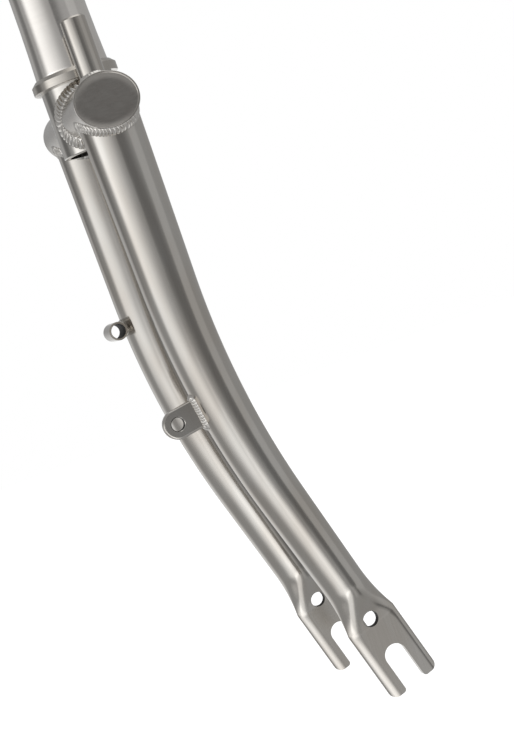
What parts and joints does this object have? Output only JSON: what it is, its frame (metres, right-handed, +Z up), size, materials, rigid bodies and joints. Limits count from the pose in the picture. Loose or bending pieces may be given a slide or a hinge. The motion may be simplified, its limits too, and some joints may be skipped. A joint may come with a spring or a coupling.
{
  "type": "rigid bicycle fork",
  "caption": "Bare metal rigid fork for a small wheel: steerer, oval crossbar, raked tapered blades flattened into slotted tips, and upright posts.",
  "frame": {"origin": "on the steerer axis, level with the upper edge of the crown race's rim", "axes": "+X forward, +Y to the rider's left, +Z up along the steerer"},
  "size_m": [0.0697, 0.0946, 0.4339],
  "materials": {
    "titanium_tube": "fine satin, bare titanium tube",
    "titanium_turned": "turned and satin, bare titanium",
    "titanium_weld": "smooth rippled weld, bare titanium",
    "race_steel": "ground steel ring"
  },
  "bodies": {
    "root": {"steerer_tube": "titanium_tube", "crown_race": "race_steel", "crossbar_right": "titanium_tube", "crossbar_left": "titanium_tube", "end_cap_right": "titanium_turned", "end_cap_left": "titanium_turned", "post_right": "titanium_turned", "post_left": "titanium_turned", "blade_right": "titanium_tube", "blade_left": "titanium_tube", "crown_weld_right": "titanium_weld", "crown_weld_left": "titanium_weld", "blade_weld_right": "titanium_weld", "blade_weld_left": "titanium_weld", "post_weld_right": "titanium_weld", "post_weld_left": "titanium_weld", "drilled_lug": "titanium_turned", "lug_weld": "titanium_weld", "cable_guide": "titanium_turned", "guide_weld": "titanium_weld"}
  },
  "joints": []
}
